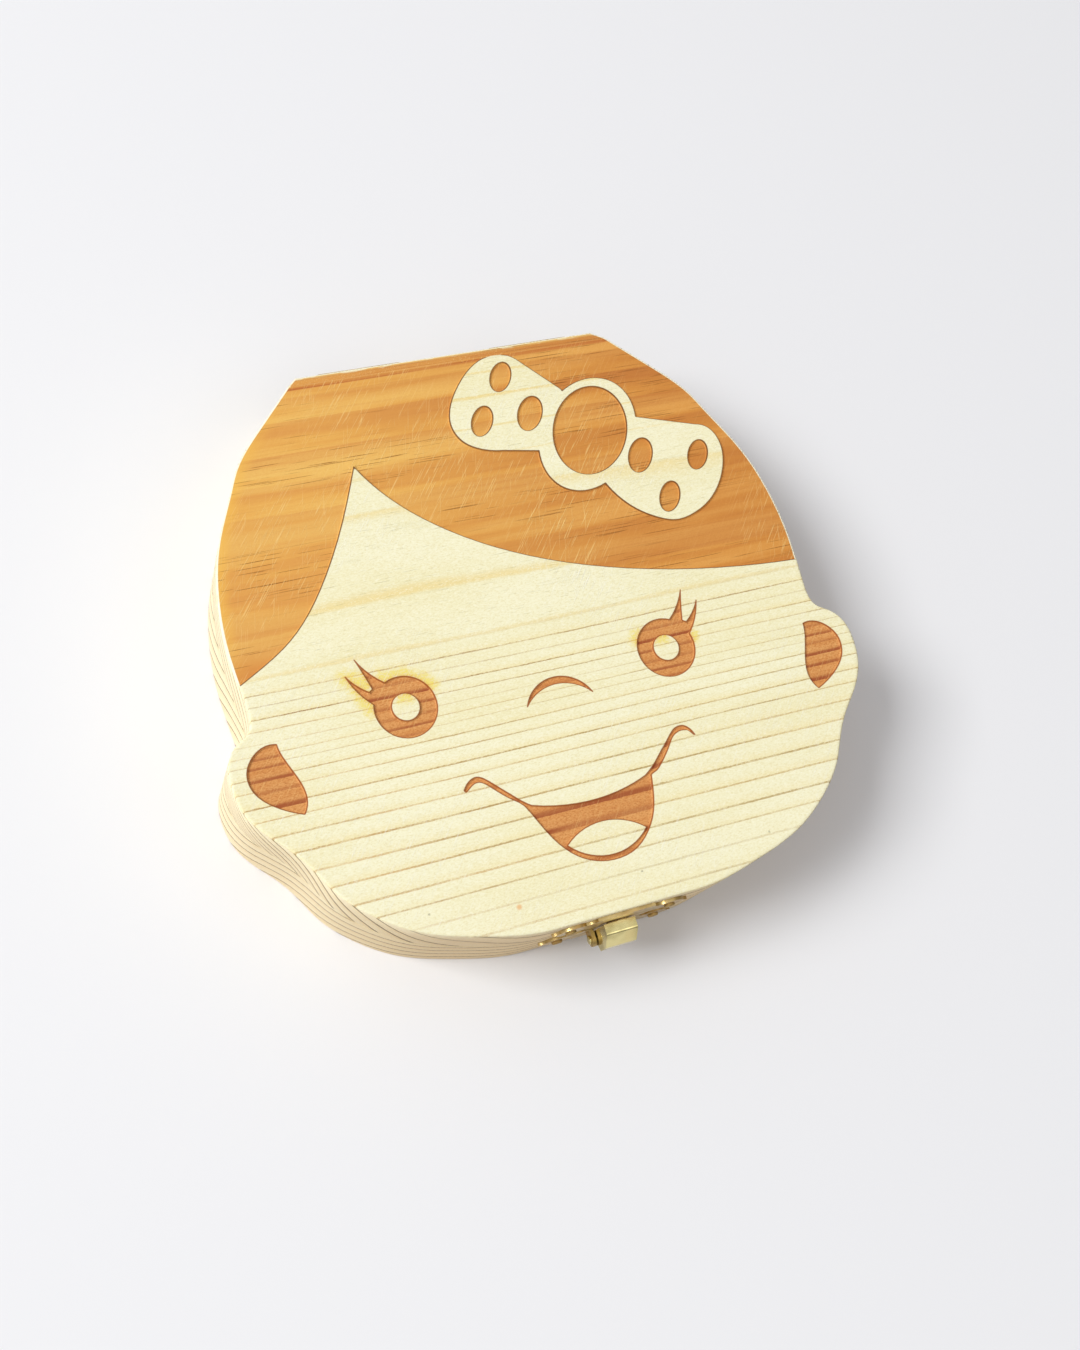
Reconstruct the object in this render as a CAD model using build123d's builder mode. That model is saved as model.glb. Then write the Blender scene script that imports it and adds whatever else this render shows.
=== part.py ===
from build123d import *
from math import cos, pi, radians, sin
import os

os.makedirs("parts", exist_ok=True)

# A keepsake box for milk teeth: two pine boards cut to a child's head, hinged along the top of the head
# and latched at the chin. It lies on its back: +Z is out of the face, +Y is towards the hinge edge.

# Boards
face_width = 120.0  # over the ears
face_height = 109.5  # chin to hinge edge
base_thickness = 14.0
lid_thickness = 10.0
chin_flat_width = 27.0  # straight part of the chin, for the latch plates
hinge_edge_width = 59.2
edge_round = 0.25
bevel_reach = 2.9  # the lid's hinge edge is planed off: across the face
bevel_drop = 1.6  # and down the edge
engraving_depth = 0.4
cut_overrun = 5.0

# Wells for the twenty milk teeth, and two compartments inside their ring
well_count = 20
well_margin_side = 17.0  # from the ring's centre line to the ears
well_margin_end = 14.75  # from the ring's centre line to the chin and the hinge edge
well_wall = 2.2
well_floor = 5.0
compartment_wall = 3.0
compartment_corner = 6.0
compartment_ring_angle = 45.0  # of the two compartments' outer corners, seen from the ring's middle
compartment_floor = 4.0
rim_chamfer = 0.3

# Engraved drawing: sizes of its figures
eye_ring_diameter = 11.2
eye_hole_diameter = 5.0
nose_width = 12.7
nose_height = 4.3
nose_stroke = 1.3
mouth_width = 44.0
ear_mark_height = 12.7
bow_reach = 26.0  # from the knot's centre to the end of a loop
knot_length = 19.2
knot_width = 14.2
knot_tilt = 56.0
knot_rim_length = 25.6
knot_rim_width = 17.8
knot_rim_tilt = 48.4
dot_length = 6.6
dot_width = 3.9
inner_dot_length = 7.6
inner_dot_width = 4.6
dot_tilt = 57.0

# Hinges: two brass butt hinges on the flat edge at the top of the head
hinge_spacing = 34.0
hinge_width = 16.0
hinge_leaf_height = 7.0
hinge_leaf_thickness = 0.8
hinge_pin_diameter = 1.2
hinge_pin_clearance = 0.05
hinge_pin_stickout = 0.4
hinge_wood_gap = 0.15
knuckle_count = 3
knuckle_gap = 0.2

# Latch: lid plate with a nib, base plate with two ears, and a hooded lever between the ears
latch_plate_width = 26.0
latch_plate_height = 8.4
latch_plate_thickness = 0.6
latch_plate_seam_gap = 0.5
lever_width = 6.0
lever_sheet = 0.5
lever_bend = 0.5  # outside radius of its folds
lever_height = 6.9  # from its pin to its top
lever_reach = 2.5  # from its pin to its front
lever_tail = 1.3  # round the pin
lever_pin_diameter = 1.0
lever_pin_clearance = 0.05
lever_pin_head_diameter = 1.6
lever_pin_head_height = 0.4
lever_pin_drop = 3.2  # from the seam down to the pin
lever_pin_out = 2.2  # from the chin to the pin
ear_thickness = 0.7
ear_gap = 0.2
nib_width = 3.6
nib_reach = 2.6
nib_play = 0.25  # under the lever's top
nib_thickness = 0.6
nib_lip = 0.65

# Brass nails, the same in the hinges and the latch
nail_shank_diameter = 0.9
nail_length = 6.0
nail_head_diameter = 2.0
nail_head_height = 0.5
nail_head_round = 0.3
nail_hole_clearance = 0.1
nail_point = 0.35
hinge_nail_spacing = 10.0
latch_nail_spacing = 19.0

# Shares of half the face's width and height, chosen along the right side from the chin upwards
cheek_shares = [
    (0.433, -0.961), (0.600, -0.899), (0.725, -0.805), (0.800, -0.714), (0.837, -0.641),
]
ear_shares = [
    (0.887, -0.559), (0.947, -0.484), (0.987, -0.407), (1.000, -0.325), (0.988, -0.243),
    (0.950, -0.195), (0.914, -0.166), (0.903, -0.135),
]
temple_shares = [
    (0.902, -0.088), (0.912, 0.113), (0.898, 0.287), (0.855, 0.460), (0.782, 0.626), (0.670, 0.804),
]
left_hair_shares = [
    (-0.960, -0.050), (-0.905, -0.018), (-0.733, 0.091), (-0.588, 0.267), (-0.477, 0.469), (-0.403, 0.637),
]
right_hair_shares = [
    (-0.403, 0.637), (-0.345, 0.533), (-0.178, 0.356), (0.087, 0.194), (0.337, 0.102), (0.670, 0.031),
    (0.912, 0.007), (0.960, 0.005),
]
knot_place_share = (0.372, 0.621)
left_eye_place_share = (-0.460, -0.200)
right_eye_place_share = (0.377, -0.200)
nose_place_share = (-0.002, -0.291)
mouth_place_share = (0.000, -0.637)
ear_mark_place_share = (0.878, -0.3415)

# Shares of the bow's reach, from the knot's centre
left_loop_shares = [
    (-0.380, 0.650), (-0.530, 0.715), (-0.700, 0.665), (-0.877, 0.510), (-0.990, 0.335), (-1.015, 0.220),
    (-0.973, 0.088), (-0.865, 0.004), (-0.700, -0.040),
]
left_loop_root_shares = [(-0.440, -0.090), (0.000, 0.000), (-0.120, 0.360)]
right_loop_shares = [
    (0.820, -0.100), (0.935, -0.173), (0.965, -0.280), (0.935, -0.440), (0.840, -0.600), (0.710, -0.720),
    (0.560, -0.790), (0.420, -0.810), (0.280, -0.762), (0.115, -0.640), (0.015, -0.505), (-0.035, -0.390),
]
right_loop_root_shares = [(0.000, 0.000), (0.380, 0.040)]
knot_rim_place_share = (-0.027, -0.025)
dot_shares = [(-0.540, 0.530), (-0.780, 0.210), (0.758, -0.342), (0.430, -0.623)]
inner_dot_shares = [(-0.410, 0.208), (0.315, -0.265)]

# Shares of the eye ring's radius, from the eye's centre: two lashes up and out from a right eye
lash_root_shares = [(0.300, 0.750), (0.390, 0.870)]
long_lash_shares = [(0.820, 1.285), (1.160, 1.830), (0.980, 1.250), (0.857, 0.786)]
short_lash_shares = [(0.980, 0.705), (1.270, 0.946), (1.580, 1.357), (1.320, 0.768), (0.930, 0.268)]

# Shares of half the mouth's width, from the middle of the upper lip
upper_lip_shares = [(-0.564, 0.100), (-0.305, 0.027), (0.000, 0.000), (0.250, 0.023), (0.541, 0.109)]
lower_lip_shares = [
    (0.541, 0.082), (0.509, -0.064), (0.450, -0.227), (0.350, -0.364), (0.205, -0.468), (0.045, -0.500),
    (-0.145, -0.468), (-0.286, -0.382), (-0.400, -0.245), (-0.482, -0.086), (-0.564, 0.100),
]
tongue_shares = [(-0.323, -0.300), (0.055, -0.182), (0.359, -0.318), (0.045, -0.459)]
left_curl_upper_shares = [
    (-1.000, 0.324), (-0.959, 0.371), (-0.914, 0.399), (-0.873, 0.406), (-0.836, 0.393), (-0.800, 0.365),
    (-0.736, 0.299), (-0.645, 0.206), (-0.568, 0.128), (-0.486, 0.067),
]
left_curl_lower_shares = [
    (-0.541, 0.044), (-0.559, 0.083), (-0.586, 0.117), (-0.655, 0.174), (-0.732, 0.247), (-0.795, 0.315),
    (-0.841, 0.353), (-0.877, 0.363), (-0.914, 0.354), (-0.950, 0.331), (-0.986, 0.308),
]
right_curl_upper_shares = [
    (1.019, 0.313), (1.000, 0.358), (0.973, 0.392), (0.941, 0.412), (0.909, 0.416), (0.873, 0.410),
    (0.827, 0.382), (0.755, 0.313), (0.664, 0.230), (0.582, 0.153), (0.509, 0.101), (0.455, 0.066),
]
right_curl_lower_shares = [
    (0.523, 0.058), (0.543, 0.083), (0.591, 0.103), (0.645, 0.142), (0.709, 0.206), (0.777, 0.285),
    (0.827, 0.344), (0.873, 0.369), (0.909, 0.377), (0.936, 0.375), (0.966, 0.367), (0.989, 0.344),
    (1.007, 0.317),
]

# Shares of the ear mark's height, from its middle: a mark on the right ear
ear_mark_outer_shares = [
    (-0.142, 0.504), (0.040, 0.504), (0.228, 0.386), (0.339, 0.189), (0.323, -0.030), (0.165, -0.252),
    (-0.260, -0.504),
]
ear_mark_inner_shares = [(-0.260, -0.504), (-0.346, -0.283), (-0.300, -0.016), (-0.142, 0.504)]

# Shares of half a latch plate's width and height: a quarter of its outline
plate_shoulder_share = 0.42
plate_waist_shares = [(0.460, 0.690), (0.550, 0.570)]
plate_lobe_shares = [(0.750, 0.715), (0.900, 0.330)]
plate_tip_shares = [(0.930, 0.120), (1.000, 0.000)]

# Shares of the lever's reach and height: the foot of its top, its brow and the foot of its front
lever_top_share = 0.24
lever_brow_share = 0.58
lever_foot_share = 0.15

# Places that follow from the sizes
seam_z = base_thickness
top_z = base_thickness + lid_thickness
pin_radius = hinge_pin_diameter / 2
barrel_radius = pin_radius + hinge_pin_clearance + hinge_leaf_thickness
hinge_out = hinge_wood_gap + barrel_radius
hinge_reach = hinge_wood_gap + 2 * barrel_radius
latch_reach = lever_pin_out + lever_reach
face_middle_y = (latch_reach - hinge_reach) / 2
chin_y = face_middle_y - face_height / 2
hinge_edge_y = face_middle_y + face_height / 2
chin_plane = Plane(origin=(0, chin_y, 0), x_dir=(1, 0, 0), z_dir=(0, -1, 0))
hinge_plane = Plane(origin=(0, hinge_edge_y, 0), x_dir=(-1, 0, 0), z_dir=(0, 1, 0))


def on_face(share):
    """The place of one share pair on the face."""
    return (share[0] * face_width / 2, face_middle_y + share[1] * face_height / 2)


def around(place_share, size, shares, side=1):
    """Points in shares of a size round a place on the face; side -1 turns them left for right."""
    x, y = on_face(place_share)
    return [(x + side * share_x * size, y + share_y * size) for share_x, share_y in shares]


def head_outline():
    """The head from chin to hinge edge: a flat chin, cheeks, ears, temples and a straight hinge edge."""
    side = [on_face(share) for share in cheek_shares + ear_shares + temple_shares]
    chin_end = (chin_flat_width / 2, chin_y)
    hinge_corner = (hinge_edge_width / 2, hinge_edge_y)
    with BuildSketch() as head:
        with BuildLine():
            Line((0, chin_y), chin_end)
            Spline(chin_end, *side, tangents=[(1, 0), Vector(*hinge_corner) - Vector(*side[-1])])
            Line(side[-1], hinge_corner)
            Line(hinge_corner, (0, hinge_edge_y))
            mirror(about=Plane.YZ)
        make_face()
    return head.sketch


def bow_shape():
    """The bow's pale shape: two loops and the knot's rim, without its dots."""
    left = around(knot_place_share, bow_reach, left_loop_shares)
    left_root = around(knot_place_share, bow_reach, left_loop_root_shares)
    right = around(knot_place_share, bow_reach, right_loop_shares)
    right_root = around(knot_place_share, bow_reach, right_loop_root_shares)
    knot = on_face(knot_place_share)
    rim = around(knot_place_share, bow_reach, [knot_rim_place_share])
    dots = around(knot_place_share, bow_reach, dot_shares)
    inner_dots = around(knot_place_share, bow_reach, inner_dot_shares)
    with BuildSketch() as bow:
        with BuildLine():
            Spline(*left)
            Polyline(left[-1], *left_root, left[0])
        make_face()
        with BuildLine():
            Spline(*right)
            Polyline(right[-1], *right_root, right[0])
        make_face()
        with Locations(*rim):
            Ellipse(knot_rim_length / 2, knot_rim_width / 2, rotation=knot_rim_tilt)
        with Locations(knot):
            Ellipse(knot_length / 2, knot_width / 2, rotation=knot_tilt, mode=Mode.SUBTRACT)
        with Locations(*dots):
            Ellipse(dot_length / 2, dot_width / 2, rotation=dot_tilt, mode=Mode.SUBTRACT)
        with Locations(*inner_dots):
            Ellipse(inner_dot_length / 2, inner_dot_width / 2, rotation=dot_tilt, mode=Mode.SUBTRACT)
    return bow.sketch


def hair_shape(bow):
    """All of the face above the hair line, past the board's edges, with the bow left standing."""
    left = [on_face(share) for share in left_hair_shares]
    right = [on_face(share) for share in right_hair_shares]
    above = hinge_edge_y + cut_overrun
    beside = face_width / 2 + cut_overrun
    with BuildSketch() as hair:
        with BuildLine():
            Spline(*left)
            Spline(*right)
            Polyline(right[-1], (beside, right[-1][1]), (beside, above), (-beside, above),
                     (-beside, left[0][1]), left[0])
        make_face()
        add(bow, mode=Mode.SUBTRACT)
    return hair.sketch


def eye_shape(place_share, side):
    """An eye ring with two thorn-shaped lashes on its outer side."""
    radius = eye_ring_diameter / 2
    root = around(place_share, radius, lash_root_shares, side)
    long_lash = around(place_share, radius, long_lash_shares, side)
    short_lash = around(place_share, radius, short_lash_shares, side)
    with BuildSketch() as eye:
        with Locations(on_face(place_share)):
            Circle(radius)
        with BuildLine():
            Line(*root)
            ThreePointArc(root[1], long_lash[0], long_lash[1])
            ThreePointArc(long_lash[1], long_lash[2], long_lash[3])
            Line(long_lash[3], short_lash[0])
            ThreePointArc(*short_lash[0:3])
            ThreePointArc(*short_lash[2:5])
            Line(short_lash[4], root[0])
        make_face()
        with Locations(on_face(place_share)):
            Circle(eye_hole_diameter / 2, mode=Mode.SUBTRACT)
    return eye.sketch


def nose_shape():
    """A thin crescent."""
    x, y = on_face(nose_place_share)
    left = (x - nose_width / 2, y)
    right = (x + nose_width / 2, y)
    with BuildSketch() as nose:
        with BuildLine():
            ThreePointArc(left, (x, y + nose_height), right)
            ThreePointArc(right, (x, y + nose_height - nose_stroke), left)
        make_face()
    return nose.sketch


def mouth_shape():
    """An open smile with the tongue left standing, and a curled stroke that tapers out at each end."""
    half = mouth_width / 2
    upper = around(mouth_place_share, half, upper_lip_shares)
    lower = around(mouth_place_share, half, lower_lip_shares)
    tongue = around(mouth_place_share, half, tongue_shares)
    with BuildSketch() as mouth:
        with BuildLine():
            Spline(*upper)
            Line(upper[-1], lower[0])
            Spline(*lower)
        make_face()
        with BuildLine():
            ThreePointArc(*tongue[0:3])
            ThreePointArc(tongue[2], tongue[3], tongue[0])
        make_face(mode=Mode.SUBTRACT)
        for upper_shares, lower_shares in ((left_curl_upper_shares, left_curl_lower_shares),
                                           (right_curl_upper_shares, right_curl_lower_shares)):
            curl_upper = around(mouth_place_share, half, upper_shares)
            curl_lower = around(mouth_place_share, half, lower_shares)
            with BuildLine():
                Spline(*curl_upper)
                Line(curl_upper[-1], curl_lower[0])
                Spline(*curl_lower)
                Line(curl_lower[-1], curl_upper[0])
            make_face()
    return mouth.sketch


def ear_mark_shape(side):
    """A half-round mark inside an ear."""
    place_share = (side * ear_mark_place_share[0], ear_mark_place_share[1])
    outer = around(place_share, ear_mark_height, ear_mark_outer_shares, side)
    inner = around(place_share, ear_mark_height, ear_mark_inner_shares, side)
    with BuildSketch() as mark:
        with BuildLine():
            Spline(*outer)
            Spline(*inner)
        make_face()
    return mark.sketch


head = head_outline()
engraving = [
    hair_shape(bow_shape()),
    eye_shape(left_eye_place_share, -1),
    eye_shape(right_eye_place_share, 1),
    nose_shape(),
    mouth_shape(),
    ear_mark_shape(-1),
    ear_mark_shape(1),
]

# Nail places, in pairs: across the edge, and up
hinge_nail_rise = (barrel_radius + hinge_leaf_height) / 2
latch_plate_rise = latch_plate_seam_gap + latch_plate_height / 2
hinge_sides = (-hinge_spacing / 2, hinge_spacing / 2)
hinge_nail_xs = [x + end * hinge_nail_spacing / 2 for x in hinge_sides for end in (-1, 1)]
latch_nail_xs = [-latch_nail_spacing / 2, latch_nail_spacing / 2]


def nail_bores(edge_plane, places):
    """Circles for nails, on an edge of a board."""
    with BuildSketch(edge_plane) as bores:
        with Locations(*places):
            Circle(nail_shank_diameter / 2)
    return bores.sketch


def nails(edge_plane, places, seat):
    """Round-headed nails whose heads seat on sheet of the given thickness."""
    with BuildPart() as group:
        with BuildSketch(edge_plane.offset(seat)):
            with Locations(*places):
                Circle(nail_head_diameter / 2)
        extrude(amount=nail_head_height)
        fillet(group.edges().group_by(edge_sort_axis(edge_plane))[-1], nail_head_round)
        with BuildSketch(edge_plane.offset(seat)):
            with Locations(*places):
                Circle(nail_shank_diameter / 2)
        extrude(amount=-(nail_length + seat))
        chamfer(group.edges().group_by(edge_sort_axis(edge_plane))[0], nail_point)
    return group.part


def edge_sort_axis(edge_plane):
    """The axis that points out of an edge of the box."""
    return Axis(edge_plane.origin, edge_plane.z_dir)


# Base: a pine board with a ring of wells and two compartments
ring_x = face_width / 2 - well_margin_side
ring_y = face_height / 2 - well_margin_end
well_radius = min(ring_x, ring_y) * sin(pi / well_count) - well_wall / 2
well_turns = [2 * pi * (well + 1 / 2) / well_count for well in range(well_count)]
well_places = [(ring_x * cos(turn), face_middle_y + ring_y * sin(turn)) for turn in well_turns]
block_width = 2 * (ring_x - well_radius - compartment_wall) * cos(radians(compartment_ring_angle))
block_height = 2 * (ring_y - well_radius - compartment_wall) * sin(radians(compartment_ring_angle))
compartment_height = (block_height - compartment_wall) / 2
compartment_rise = (compartment_height + compartment_wall) / 2
with BuildPart() as base_tray:
    with BuildSketch():
        add(head)
    extrude(amount=base_thickness)
    outer_edges = base_tray.edges().filter_by(Plane.XY)
    fillet(outer_edges, edge_round)
    with BuildSketch(Plane.XY.offset(seam_z)):
        with Locations(*well_places):
            Circle(well_radius)
    extrude(amount=well_floor - base_thickness, mode=Mode.SUBTRACT)
    with BuildSketch(Plane.XY.offset(seam_z)):
        with Locations((0, face_middle_y - compartment_rise), (0, face_middle_y + compartment_rise)):
            RectangleRounded(block_width, compartment_height, compartment_corner)
    extrude(amount=compartment_floor - base_thickness, mode=Mode.SUBTRACT)
    inner_rims = base_tray.faces().sort_by(Axis.Z)[-1].inner_wires().edges()
    chamfer(inner_rims, rim_chamfer)
    for edge_plane, xs, rise in ((chin_plane, latch_nail_xs, latch_plate_rise),
                                 (hinge_plane, hinge_nail_xs, hinge_nail_rise)):
        bores = nail_bores(edge_plane, [(x, seam_z - rise) for x in xs])
        extrude(bores, amount=-nail_length, mode=Mode.SUBTRACT)
base_tray.part.label = "base_tray"
export_step(base_tray.part, "parts/base_tray.step")

# Lid: a thinner board with the engraved face and the planed hinge edge
with BuildPart() as lid_board:
    with BuildSketch(Plane.XY.offset(seam_z)):
        add(head)
    extrude(amount=lid_thickness)
    with BuildSketch(Plane.YZ):
        with BuildLine():
            Polyline((hinge_edge_y - bevel_reach, top_z), (hinge_edge_y, top_z - bevel_drop),
                     (hinge_edge_y + cut_overrun, top_z - bevel_drop), (hinge_edge_y + cut_overrun, top_z),
                     close=True)
        make_face()
    extrude(amount=face_width / 2, both=True, mode=Mode.SUBTRACT)
    seam_edges = lid_board.edges().filter_by(Plane.XY).group_by(Axis.Z)[0]
    fillet(seam_edges, edge_round)
    face_edges = lid_board.faces().sort_by(Axis.Z)[-1].edges()
    fillet(face_edges.sort_by(Axis.Y)[:-1], edge_round)
    for figure in engraving:
        with BuildSketch(Plane.XY.offset(top_z)):
            add(figure)
        extrude(amount=-engraving_depth, mode=Mode.SUBTRACT)
    for edge_plane, xs, rise in ((chin_plane, latch_nail_xs, latch_plate_rise),
                                 (hinge_plane, hinge_nail_xs, hinge_nail_rise)):
        bores = nail_bores(edge_plane, [(x, seam_z + rise) for x in xs])
        extrude(bores, amount=-nail_length, mode=Mode.SUBTRACT)
lid_board.part.label = "lid_board"
export_step(lid_board.part, "parts/lid_board.step")

# Hinges: leaves, knuckles and a pin on each side of the middle
knuckle_pitch = hinge_width / knuckle_count
knuckle_length = knuckle_pitch - knuckle_gap
knuckle_clear = barrel_radius + hinge_wood_gap
knuckle_places = [(knuckle + (1 - knuckle_count) / 2) * knuckle_pitch for knuckle in range(knuckle_count)]
barrel_plane = Plane(origin=(0, hinge_edge_y + hinge_out, seam_z), x_dir=(0, 1, 0), z_dir=(1, 0, 0))


def hinge_leaf(middle_x, up, own, others):
    """A leaf flat on the hinge edge, with its own knuckles and room for the others; up is -1 or 1."""
    with BuildPart() as leaf:
        with BuildSketch(hinge_plane):
            with Locations((-middle_x, seam_z + up * hinge_leaf_height / 2)):
                Rectangle(hinge_width - knuckle_gap, hinge_leaf_height)
            with Locations(*[(-middle_x - x, seam_z) for x in others]):
                Rectangle(knuckle_pitch + knuckle_gap, 2 * knuckle_clear, mode=Mode.SUBTRACT)
            with Locations(*[(x, seam_z + up * hinge_nail_rise) for x in hinge_nail_xs]):
                Circle((nail_shank_diameter + nail_hole_clearance) / 2, mode=Mode.SUBTRACT)
        extrude(amount=hinge_leaf_thickness)
        for x in own:
            with BuildSketch(barrel_plane.offset(middle_x + x - knuckle_length / 2)):
                Circle(barrel_radius)
            extrude(amount=knuckle_length)
        with BuildSketch(barrel_plane.offset(middle_x)):
            Circle(pin_radius + hinge_pin_clearance)
        extrude(amount=hinge_width, both=True, mode=Mode.SUBTRACT)
    return leaf.part


def hinge_pin(middle_x):
    """A pin through all the knuckles, with rounded ends that stand out a little."""
    with BuildPart() as pin:
        with BuildSketch(barrel_plane.offset(middle_x)):
            Circle(pin_radius)
        extrude(amount=hinge_width / 2 + hinge_pin_stickout, both=True)
        fillet(pin.edges().filter_by(GeomType.CIRCLE), hinge_pin_stickout)
    return pin.part


for side_name, middle_x in (("left", -hinge_spacing / 2), ("right", hinge_spacing / 2)):
    pieces = {
        "base_leaf": hinge_leaf(middle_x, -1, knuckle_places[0::2], knuckle_places[1::2]),
        "lid_leaf": hinge_leaf(middle_x, 1, knuckle_places[1::2], knuckle_places[0::2]),
        "pin": hinge_pin(middle_x),
    }
    for piece_name, piece in pieces.items():
        piece.label = f"{side_name}_hinge_{piece_name}"
        export_step(piece, f"parts/{piece.label}.step")

# Latch plates: flat sheet with lobed ends, a nail in each lobe
lever_pin_z = seam_z - lever_pin_drop
side_plane = Plane(origin=(0, chin_y, 0), x_dir=(0, -1, 0), z_dir=(-1, 0, 0))


def plate_outline(middle_z):
    """A plate with a broad middle, a waist, a lobe round each nail and a blunt point at each end."""
    half_width = latch_plate_width / 2
    half_height = latch_plate_height / 2
    waist, lobe, tip = (
        [(share_x * half_width, share_y * half_height) for share_x, share_y in shares]
        for shares in (plate_waist_shares, plate_lobe_shares, plate_tip_shares)
    )
    shoulder = (plate_shoulder_share * half_width, half_height)
    with BuildSketch() as plate:
        with BuildLine():
            Line((0, half_height), shoulder)
            ThreePointArc(shoulder, *waist)
            ThreePointArc(waist[-1], *lobe)
            ThreePointArc(lobe[-1], *tip)
            mirror(about=Plane.XZ)
            mirror(about=Plane.YZ)
        make_face()
        with Locations(*[(x, 0) for x in latch_nail_xs]):
            Circle((nail_shank_diameter + nail_hole_clearance) / 2, mode=Mode.SUBTRACT)
    return Pos(0, middle_z) * plate.sketch


lid_plate_outline = plate_outline(seam_z + latch_plate_rise)
base_plate_outline = plate_outline(seam_z - latch_plate_rise)

# The lid's plate carries a nib that the lever's top closes over
nib_top_z = lever_pin_z + lever_height - lever_sheet - nib_play
nib_shelf_z = nib_top_z - nib_lip
with BuildPart() as latch_lid_plate:
    with BuildSketch(chin_plane):
        add(lid_plate_outline)
    extrude(amount=latch_plate_thickness)
    with BuildSketch(side_plane):
        with BuildLine():
            Polyline((0, nib_shelf_z - nib_thickness), (nib_reach, nib_shelf_z - nib_thickness),
                     (nib_reach, nib_top_z), (nib_reach - nib_thickness, nib_top_z),
                     (nib_reach - nib_thickness, nib_shelf_z), (0, nib_shelf_z), close=True)
        make_face()
    extrude(amount=nib_width / 2, both=True)
latch_lid_plate.part.label = "latch_lid_plate"
export_step(latch_lid_plate.part, "parts/latch_lid_plate.step")

# The base's plate carries two ears for the lever's pin
ear_middle = lever_width / 2 + ear_gap + ear_thickness / 2
with BuildPart() as latch_base_plate:
    with BuildSketch(chin_plane):
        add(base_plate_outline)
    extrude(amount=latch_plate_thickness)
    for side in (-1, 1):
        with BuildSketch(side_plane.offset(side * ear_middle)):
            with Locations((lever_pin_out / 2, lever_pin_z)):
                Rectangle(lever_pin_out, 2 * lever_tail)
            with Locations((lever_pin_out, lever_pin_z)):
                Circle(lever_tail)
                Circle(lever_pin_diameter / 2 + lever_pin_clearance, mode=Mode.SUBTRACT)
        extrude(amount=ear_thickness / 2, both=True)
latch_base_plate.part.label = "latch_base_plate"
export_step(latch_base_plate.part, "parts/latch_base_plate.step")

# The lever: a folded hood with a top, a sloping brow, a short front and two cheeks on the pin
lever_top = (lever_pin_out - lever_tail, lever_pin_z + lever_height)
lever_edge = (lever_pin_out + lever_top_share * lever_reach, lever_pin_z + lever_height)
lever_brow = (lever_pin_out + lever_reach, lever_pin_z + lever_brow_share * lever_height)
lever_foot = (lever_pin_out + lever_reach, lever_pin_z + lever_foot_share * lever_height)
lever_back = (lever_pin_out - lever_tail, lever_pin_z)
with BuildPart() as latch_lever:
    with BuildSketch(side_plane):
        with BuildLine():
            Polyline(lever_top, lever_edge, lever_brow, lever_foot,
                     (lever_pin_out, lever_pin_z), lever_back, close=True)
        make_face()
        with Locations((lever_pin_out, lever_pin_z)):
            Circle(lever_tail)
    extrude(amount=lever_width / 2, both=True)
    cross_edges = latch_lever.edges().filter_by(Axis.X).group_by(Axis.Z)
    fillet([cross_edges[-1].sort_by(Axis.Y)[0], *cross_edges[-2]], lever_bend)
    with BuildSketch(side_plane):
        with BuildLine():
            Polyline((lever_top[0] - cut_overrun, lever_top[1] - lever_sheet),
                     (lever_edge[0] - lever_sheet / 2, lever_edge[1] - lever_sheet),
                     (lever_brow[0] - lever_sheet, lever_brow[1] - lever_sheet / 2),
                     (lever_foot[0] - lever_sheet, lever_back[1] - cut_overrun),
                     (lever_top[0] - cut_overrun, lever_back[1] - cut_overrun), close=True)
        make_face()
    extrude(amount=lever_width / 2 - lever_sheet, both=True, mode=Mode.SUBTRACT)
    with BuildSketch(side_plane):
        with Locations((lever_pin_out, lever_pin_z)):
            Circle(lever_pin_diameter / 2 + lever_pin_clearance)
    extrude(amount=lever_width, both=True, mode=Mode.SUBTRACT)
latch_lever.part.label = "latch_lever"
export_step(latch_lever.part, "parts/latch_lever.step")

# The lever's pin, headed outside both ears
ears_outside = ear_middle + ear_thickness / 2
with BuildPart() as latch_pin:
    with BuildSketch(side_plane):
        with Locations((lever_pin_out, lever_pin_z)):
            Circle(lever_pin_diameter / 2)
    extrude(amount=ears_outside, both=True)
    for side in (-1, 1):
        with BuildSketch(side_plane.offset(side * ears_outside)):
            with Locations((lever_pin_out, lever_pin_z)):
                Circle(lever_pin_head_diameter / 2)
        extrude(amount=side * lever_pin_head_height)
    head_rims = latch_pin.edges().filter_by(GeomType.CIRCLE).group_by(Axis.X)
    fillet(head_rims[0] + head_rims[-1], lever_pin_head_height / 2)
latch_pin.part.label = "latch_pin"
export_step(latch_pin.part, "parts/latch_pin.step")

# Nails, one group for each row
nail_rows = {
    "hinge_base_nails": (hinge_plane, hinge_nail_xs, -hinge_nail_rise, hinge_leaf_thickness),
    "hinge_lid_nails": (hinge_plane, hinge_nail_xs, hinge_nail_rise, hinge_leaf_thickness),
    "latch_base_nails": (chin_plane, latch_nail_xs, -latch_plate_rise, latch_plate_thickness),
    "latch_lid_nails": (chin_plane, latch_nail_xs, latch_plate_rise, latch_plate_thickness),
}
for name, (edge_plane, xs, rise, seat) in nail_rows.items():
    row = nails(edge_plane, [(x, seam_z + rise) for x in xs], seat)
    row.label = name
    export_step(row, f"parts/{name}.step")
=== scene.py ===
from math import hypot, radians
from types import SimpleNamespace

import bmesh
import bpy
import numpy as np
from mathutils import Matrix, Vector
from mathutils.geometry import delaunay_2d_cdt


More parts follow.
